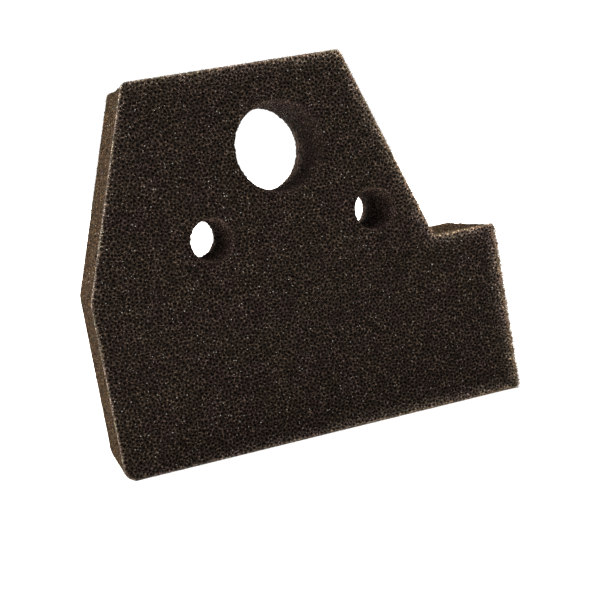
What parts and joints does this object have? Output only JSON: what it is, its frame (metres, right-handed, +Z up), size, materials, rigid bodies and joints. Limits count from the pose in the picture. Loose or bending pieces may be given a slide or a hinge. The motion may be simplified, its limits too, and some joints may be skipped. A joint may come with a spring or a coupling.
{
  "type": "foam air filter element",
  "caption": "Block of open-cell foam that filters a small engine's intake air: wide low foot, tapered upper part, and round holes that slide over the air box's posts.",
  "frame": {"origin": "under the middle of the block's width and thickness, on the lower face of the foot", "axes": "+X along the foot, from the plain end to the end with the step; +Y through the thickness, from the cover side to the engine side; +Z up from the foot to the short upper edge"},
  "size_m": [0.098, 0.025, 0.0875],
  "materials": {
    "foam": "matte"
  },
  "bodies": {
    "root": {"foam_element": "foam"}
  },
  "joints": []
}
